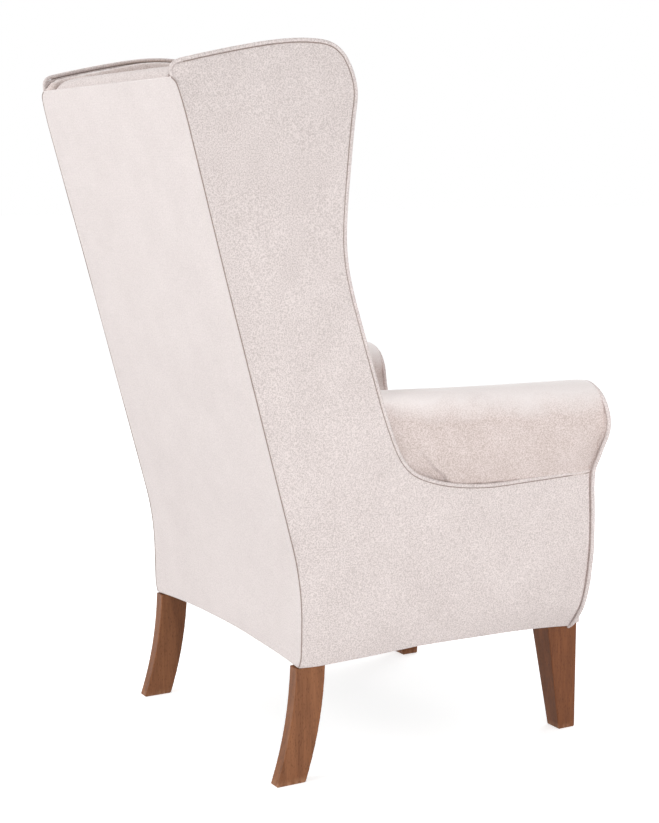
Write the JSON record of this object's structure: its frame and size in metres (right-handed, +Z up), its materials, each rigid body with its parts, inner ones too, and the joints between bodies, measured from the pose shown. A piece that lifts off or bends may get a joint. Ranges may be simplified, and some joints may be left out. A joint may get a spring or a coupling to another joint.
{
  "type": "wingback chair",
  "caption": "Upholstered high-back wing armchair with scroll arms, sabre rear legs, tapered front legs and a lift-out seat cushion on a sprung wooden frame.",
  "frame": {"origin": "on the floor, below the middle of the chair's box", "axes": "+Z up, the sitter faces -Y, +X to the sitter's left"},
  "size_m": [0.802, 0.76, 1.16],
  "materials": {
    "stained_beech": "mid-brown stained beech, satin lacquer",
    "frame_beech": "raw beech and plywood, unseen",
    "dowel_beech": "raw beech dowel",
    "steel": "bright zinc",
    "webbing": "woven jute band",
    "dust_cloth": "thin black non-woven cloth",
    "cover_outside": "pale pinkish ivory chenille over board and wadding",
    "cover_inside": "pale pinkish ivory chenille over foam"
  },
  "bodies": {
    "chair": {"arm_facing_left": "cover_inside", "arm_facing_right": "cover_inside", "arm_pad_left": "cover_inside", "arm_pad_right": "cover_inside", "arm_post_left": "frame_beech", "arm_post_right": "frame_beech", "arm_post_screws": "steel", "arm_rail_left": "frame_beech", "arm_rail_right": "frame_beech", "back_lower_rail": "frame_beech", "back_lumbar_rail": "frame_beech", "back_top_rail": "frame_beech", "back_top_strip": "cover_inside", "back_webbing": "webbing", "corner_blocks": "frame_beech", "dust_cover": "dust_cloth", "front_border": "cover_inside", "front_leg_left": "stained_beech", "front_leg_right": "stained_beech", "front_seat_rail": "frame_beech", "inside_back": "cover_inside", "inside_wing_left": "cover_inside", "inside_wing_right": "cover_inside", "leg_bolt_nuts": "steel", "leg_bolts": "steel", "outside_back": "cover_outside", "outside_side_left": "cover_outside", "outside_side_right": "cover_outside", "rail_dowels": "dowel_beech", "rear_leg_post_left": "stained_beech", "rear_leg_post_right": "stained_beech", "rear_seat_rail": "frame_beech", "seat_deck": "cover_inside", "seat_springs": "steel", "side_seat_rail_left": "frame_beech", "side_seat_rail_right": "frame_beech", "spring_clips": "steel", "wing_board_left": "frame_beech", "wing_board_right": "frame_beech"},
    "cushion": {"seat_cushion": "cover_inside"}
  },
  "joints": [
    {"name": "cushion_lift", "type": "slide", "parent": "chair", "child": "cushion", "axis": [0, 0, 1], "range_m": [0, 0.15]}
  ]
}
